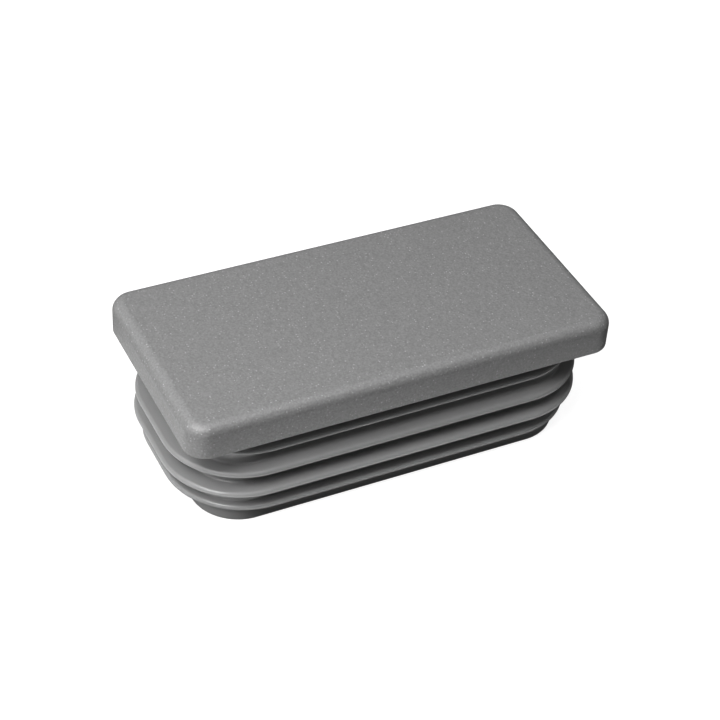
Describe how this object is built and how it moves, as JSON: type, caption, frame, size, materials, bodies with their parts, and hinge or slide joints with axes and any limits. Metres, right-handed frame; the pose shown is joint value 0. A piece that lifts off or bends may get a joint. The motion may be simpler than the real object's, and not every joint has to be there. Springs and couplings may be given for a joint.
{
  "type": "rectangular tube end cap",
  "caption": "Ribbed plastic end cap for a rectangular tube: a flat cover plate with rounded edges on a hollow core with sealing fins all round.",
  "frame": {"origin": "centre of the cover plate's underside, the plane that stops on the tube's end face", "axes": "+X along the plate's length, +Y along its width, +Z out of the tube, away from the fins"},
  "size_m": [0.06, 0.03, 0.0198],
  "materials": {
    "moulding": "grey polyethylene, fine spark-eroded grain on the cover plate, smooth satin fins"
  },
  "bodies": {
    "root": {"end_cap": "moulding"}
  },
  "joints": []
}
